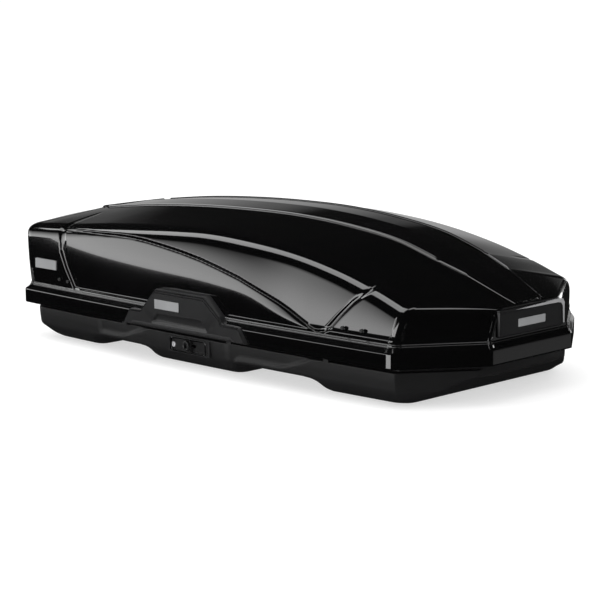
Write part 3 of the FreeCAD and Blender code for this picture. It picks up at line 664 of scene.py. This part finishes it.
# ---------------------------------------------------------------- handles
HANDLE_OUTLINE = ((-.361, .116), (.176, .116), (.143, .164), (.072, .165), (.062, .185), (-.006, .238),
                  (-.214, .238), (-.282, .164), (-.332, .164))
RIM_WIDE = (.0024, .0074, .0078, .0078, .0120, .0145, .0056, .0060, .0056)  # stepped rim's width per edge
RIM_TIERS = ((0, .4350), (.06, .4378), (.14, .4386), (.30, .4386), (.38, .4376), (.42, .4346), (.50, .4346),
             (.54, .4380), (.60, .4396), (.78, .4396), (.84, .4386), (.88, .4366), (.93, .4366),
             (.97, .4398), (1.0, .4408))  # (share of the rim's width, y)
HANDLE_RECESS = ((-.232, .134), (.014, .134), (-.016, .166), (-.207, .163))
RECESS_TIERS = ((0, .4408), (.0014, .4398), (.0050, .4348), (.0062, .4342))  # (inset, y)
HANDLE_LIP = ((-.322, .1185), (.128, .1185), (.112, .1305), (-.314, .1305))
LIP_TIERS = ((0, .4404), (.0004, .4418), (.0016, .4428), (.0022, .4429))
HANDLE_ROUND, RECESS_ROUND, LIP_ROUND = .0065, .006, .003
HANDLE_SPACING, HANDLE_SUNK = .012, .0015  # spacing of the outline's points, and overlap with the flank
ROUND_POINTS = 5


def offset_outline(points, amounts):
    """Outline moved to the left of its direction, each edge by its own amount."""
    points = [np.array(p, float) for p in points]
    lines = []
    for a, b, amount in zip(points, points[1:] + points[:1], amounts):
        along = (b - a) / np.linalg.norm(b - a)
        lines.append((a + np.array((-along[1], along[0])) * amount, along))
    moved = []
    for (a, da), (b, db) in zip(lines[-1:] + lines, lines):
        t = ((b - a)[0] * db[1] - (b - a)[1] * db[0]) / (da[0] * db[1] - da[1] * db[0])
        moved.append(a + da * t)
    return moved


def round_outline(points, radius):
    rounded = []
    for i, corner in enumerate(points):
        before, after = points[i - 1] - corner, points[(i + 1) % len(points)] - corner
        reach_before, reach_after = np.linalg.norm(before), np.linalg.norm(after)
        r = min(radius, reach_before * .4, reach_after * .4)
        rounded += list(arc(corner + before / reach_before * r, corner, corner + after / reach_after * r,
                            ROUND_POINTS))
    return rounded


def on_side(outline, depth):
    return [(x, depth, z) for x, z in outline]


def on_nose(outline, depth):
    return [(depth, y, z) for y, z in outline]


def stack(outline, tiers, radius, turned):
    """One loop for each (inset, depth) tier of a rounded outline."""
    count = len(outline)
    return [turned(round_outline(offset_outline(outline, (inset,) * count), radius), depth)
            for inset, depth in tiers]


def join_loops(edit, loops, side=1, closed=False):
    """Quads between matching (x, y, z) loops, and from the last to the first when closed."""
    rings = [[edit.verts.new((x + MIDDLE_X, side * y, z)) for x, y, z in loop] for loop in loops]
    for low, high in zip(rings, rings[1:] + (rings[:1] if closed else [])):
        for i in range(len(low)):
            j = (i + 1) % len(low)
            edit.faces.new((low[i], low[j], high[j], high[i]))
    return rings


def ring_edges(edit, ring):
    return [edit.edges.get((a, b)) or edit.edges.new((a, b)) for a, b in zip(ring, ring[1:] + ring[:1])]


def flank_y(x, z):
    """Outside of the lid's flank behind the handle."""
    ledge = .0105 * step(.158, .172, z) + .0053 * step(.174, .182, z)
    return band_y(x) - ledge - np.maximum(z - .190, 0) * .15


def rim_loops():
    """Handle's stepped rim: evenly spaced loops, the first one sunk in the flank."""
    steps = [offset_outline(HANDLE_OUTLINE, [share * wide for wide in RIM_WIDE]) for share, _ in RIM_TIERS]
    outlines = [round_outline(outline, HANDLE_ROUND) for outline in steps]
    counts = [max(1, int(np.linalg.norm(b - a) / HANDLE_SPACING + .5))
              for a, b in zip(outlines[0], outlines[0][1:] + outlines[0][:1])]
    spread = []
    for outline in outlines:
        loop = []
        for a, b, pieces in zip(outline, outline[1:] + outline[:1], counts):
            loop += [a + (b - a) * k / pieces for k in range(pieces)]
        spread.append(loop)
    foot = [(x, float(flank_y(x, z)) - HANDLE_SUNK, z) for x, z in spread[0]]
    return [foot] + [on_side(loop, depth) for loop, (_, depth) in zip(spread, RIM_TIERS)]


def handle(side, name):
    """Grab handle over the band, with a recess for the fingers and a lip below it."""
    edit = bmesh.new()
    rim = join_loops(edit, rim_loops(), side)
    recess = join_loops(edit, stack(HANDLE_RECESS, RECESS_TIERS, RECESS_ROUND, on_side), side)
    edit.faces.new(recess[-1])
    edges = ring_edges(edit, rim[-1]) + ring_edges(edit, recess[0])
    bmesh.ops.triangle_fill(edit, use_beauty=True, edges=edges)
    lip = join_loops(edit, stack(HANDLE_LIP, LIP_TIERS, LIP_ROUND, on_side), side)
    edit.faces.new(lip[-1])
    piece = save_piece(edit, name + "_handle_shell", "lid", PLASTIC)
    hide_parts(name + "_handle")


for side, name in SIDES:
    handle(side, name)


# ---------------------------------------------------------------- nose and latch pieces
TRIM_OUTLINE = ((-.147, .1868), (.147, .1868), (.147, .2630), (-.147, .2630))
TRIM_TIERS = (((0, 0, 0, 0), .8560), ((0, 0, 0, 0), .8672), ((.0006, .0012, .0012, .0006), .8688),
              ((.0018, .0072, .0066, .0020), .8690), ((.0024, .0082, .0076, .0026), .8680),
              ((.0026, .0084, .0078, .0028), .8560))  # (inset per edge, x)
TRIM_ROUND = .006
STRIP_OUTLINE = ((-.050, .2588), (.130, .2652), (.1425, .2630), (.1490, .2520), (.1500, .1950),
                 (.1462, .1950), (.1420, .2440), (.1350, .2535), (.1200, .2565), (-.020, .2578))
STRIP_TIERS = ((0, .8560), (0, .8686), (.0004, .8692), (.0009, .8694))
NOSE_PLATE_OUTLINE = ((-.1440, .1892), (.1440, .1892), (.1440, .2552), (-.1440, .2552))
NOSE_PLATE_TIERS = ((0, .8560), (0, .8668), (.0010, .8678), (.0040, .8678))
BADGE_OUTLINE = ((-.062, .2080), (.062, .2080), (.062, .2310), (-.062, .2310))
BADGE_TIERS = ((0, .8600), (0, .8682), (.0008, .8690), (.0022, .8690), (.0028, .8685))
TRACK_OUTLINE = ((-.181, .0495), (-.030, .0495), (-.030, .0920), (-.181, .0920))
TRACK_TIERS = ((0, .4060), (0, .4078), (.0005, .4082), (.0024, .4082), (.0029, .4078), (.0030, .4060))
NOSE_PLATE_ROUND, BADGE_ROUND, TRACK_ROUND = .005, .003, .009
RING_MIDDLE = (-.114, .071)
RING_TIERS = ((.0132, .0158, .4032), (.0134, .0160, .4095), (.0120, .0146, .4114),
              (.0098, .0128, .4118), (.0082, .0112, .4110), (.0070, .0100, .4090),
              (.0068, .0098, .4032))  # (half width, half height, y)


def nose_trim():
    """Frame round the nose plate: broad along the top and the left end, thin elsewhere."""
    loops = [on_nose(round_outline(offset_outline(TRIM_OUTLINE, insets), TRIM_ROUND), depth)
             for insets, depth in TRIM_TIERS]
    edit = bmesh.new()
    join_loops(edit, loops, closed=True)
    piece = save_piece(edit, "nose_trim", "lid", NOSE_PLATE)
    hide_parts("nose_badge_frame")


def nose_slab(name, loops, look):
    """Plate on the nose, closed at its back and front."""
    edit = bmesh.new()
    rings = join_loops(edit, loops)
    edit.faces.new(rings[0])
    edit.faces.new(rings[-1])
    return save_piece(edit, name, "lid", look)


def nose_highlight_strip():
    """Satin strip that widens along the top of the nose plate and runs down its left end; its light grey is a
    painted highlight, standing in for the reflection on the chamfer round the plate.
    """
    count = len(STRIP_OUTLINE)
    loops = [on_nose(offset_outline(STRIP_OUTLINE, (flare,) * count), depth) for flare, depth in STRIP_TIERS]
    nose_slab("nose_painted_highlight_strip", loops, PAINTED_HIGHLIGHT_LOOK)


def slider_ring(side, name):
    """Upright oval finger ring moulded over the slider's eye."""
    x, z = RING_MIDDLE
    turn = np.linspace(0, 2 * math.pi, 40, endpoint=False)
    loops = [[(x + wide * math.cos(a), depth, z + high * math.sin(a)) for a in turn]
             for wide, high, depth in RING_TIERS]
    edit = bmesh.new()
    join_loops(edit, loops, side, closed=True)
    save_piece(edit, name + "_slider_ring", name + "_latch", PLASTIC)


def latch_frame(side, name):
    """Black rounded surround of the latch slider's track."""
    edit = bmesh.new()
    join_loops(edit, stack(TRACK_OUTLINE, TRACK_TIERS, TRACK_ROUND, on_side), side, closed=True)
    save_piece(edit, name + "_latch_frame", "base", GLOSS)


nose_trim()
nose_highlight_strip()
plate_loops = stack(NOSE_PLATE_OUTLINE, NOSE_PLATE_TIERS, NOSE_PLATE_ROUND, on_nose)
plate = nose_slab("nose_plate", plate_loops, NOSE_PLATE)
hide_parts("nose_badge_plate")
nose_slab("nose_badge", stack(BADGE_OUTLINE, BADGE_TIERS, BADGE_ROUND, on_nose), PLATE)
for side, name in SIDES:
    slider_ring(side, name)
    latch_frame(side, name)


# ---------------------------------------------------------------- studio and camera
SOFTBOX_AWAY = 6.0  # from a softbox to the point it faces
CEILING_Z = 3.2
FLOOR_HALF = 40
FLOOR_GREY, FLOOR_GLOW = .45, .6
WORLD_WHITE, WORLD_DARK = 1.15, .008  # the world to the camera and soft light, and to mirror-like rays


def area_light(name, width, high):
    """Rectangular light of the same radiance whatever its size."""
    data = bpy.data.lights.new(name, "AREA")
    data.shape = "RECTANGLE"
    data.size, data.size_y = width, high
    data.energy = math.pi * data.size * data.size_y
    return add_object(name, data)


def softbox(name, toward, elevations, width, low, high, start=(0, 0, .25), roll=0):
    """Softbox between two elevations seen from start, its glow graded from the low to the high edge."""
    across = Vector((*toward, 0)).normalized()
    bottom, top = (start[2] + SOFTBOX_AWAY * math.tan(math.radians(e)) for e in elevations)
    place = Vector((*start[:2], 0)) + across * SOFTBOX_AWAY + Vector((0, 0, (bottom + top) / 2))
    target = Vector((*start[:2], place.z))
    item = area_light(name, width, top - bottom)
    item.location = place
    facing = (target - place).to_track_quat("-Z", "Y")
    item.rotation_euler = (facing @ Quaternion((0, 0, 1), math.radians(roll))).to_euler()
    item.data.use_nodes = True
    tree = item.data.node_tree
    surface = tree.nodes.new("ShaderNodeNewGeometry")
    split = tree.nodes.new("ShaderNodeSeparateXYZ")
    grade = tree.nodes.new("ShaderNodeMapRange")
    grade.inputs["To Min"].default_value = low
    grade.inputs["To Max"].default_value = high
    tree.links.new(surface.outputs["Parametric"], split.inputs["Vector"])
    tree.links.new(split.outputs["Y"], grade.inputs["Value"])
    tree.links.new(grade.outputs["Result"], tree.nodes["Emission"].inputs["Strength"])


def ceiling(name, along_x, along_y, glow):
    """Level softbox overhead, looking straight down."""
    item = area_light(name, along_x[1] - along_x[0], along_y[1] - along_y[0])
    item.data.energy *= glow
    item.location = (sum(along_x) / 2, sum(along_y) / 2, CEILING_Z)


def floor():
    """Pale floor that mirror-like rays don't see and whose own glow keeps the shadow faint."""
    half = FLOOR_HALF
    mesh = bpy.data.meshes.new("floor")
    corners = [(-half, -half, 0), (half, -half, 0), (half, half, 0), (-half, half, 0)]
    mesh.from_pydata(corners, [], [(0, 1, 2, 3)])
    paint = bpy.data.materials.new("pale_floor")
    paint.use_nodes = True
    shader = paint.node_tree.nodes["Principled BSDF"]
    shader.inputs["Base Color"].default_value = (FLOOR_GREY, FLOOR_GREY, FLOOR_GREY, 1)
    shader.inputs["Emission Color"].default_value = (1, 1, 1, 1)
    shader.inputs["Emission Strength"].default_value = FLOOR_GLOW
    shader.inputs["Roughness"].default_value = 0.9
    mesh.materials.append(paint)
    item = add_object("floor", mesh)
    item.visible_glossy = False


def world():
    """White world that is nearly black to mirror-like rays, so that the gloss shows only the softboxes."""
    made = bpy.data.worlds.new("studio")
    bpy.context.scene.world = made
    made.use_nodes = True
    tree = made.node_tree
    white, dark = tree.nodes["Background"], tree.nodes.new("ShaderNodeBackground")
    for node, strength in ((white, WORLD_WHITE), (dark, WORLD_DARK)):
        node.inputs["Color"].default_value = (1, 1, 1, 1)
        node.inputs["Strength"].default_value = strength
    path = tree.nodes.new("ShaderNodeLightPath")
    mix = tree.nodes.new("ShaderNodeMixShader")
    tree.links.new(path.outputs["Is Glossy Ray"], mix.inputs["Fac"])
    tree.links.new(white.outputs["Background"], mix.inputs[1])
    tree.links.new(dark.outputs["Background"], mix.inputs[2])
    tree.links.new(mix.outputs["Shader"], tree.nodes["World Output"].inputs["Surface"])


def camera():
    azimuth, elevation, distance = math.radians(43.69), math.radians(9.74), 6.398
    back = Vector((math.sin(azimuth) * math.cos(elevation), -math.cos(azimuth) * math.cos(elevation),
                   math.sin(elevation)))
    aim = Vector((-0.031 + MIDDLE_X, 0, 0.055 + LIFT))
    data = bpy.data.cameras.new("camera")
    data.lens = 123.7
    data.sensor_width = 36
    item = add_object("camera", data)
    item.location = aim + back * distance
    item.rotation_euler = (-back).to_track_quat("-Z", "Y").to_euler()
    bpy.context.scene.camera = item


floor()
world()
camera()
bpy.context.scene.view_settings.view_transform = "Standard"
softbox("flank_right", (-.75, -.66), (0, 18), 8.4, 2.9, 0, roll=7)
softbox("flank_left", (.12, 1), (1.0, 18), 4.0, 2.7, 0)
softbox("nose_fill", (.69, .71), (-15, 3), 4.0, .2, .06)
softbox("far_roof_fill", (-.69, .72), (-6, 17), 6.0, .5, 0)
ceiling("shoulder_strip", (-5.0, 1.4), (-2.0, -.40), 2.4)
ceiling("nose_strip", (1.4, 2.1), (-.5, .7), 1.8)
softbox("corner_card", (-.08, -.99), (-16, 8), 4.6, 3.4, 3.4, start=(.7, -.4, .25))
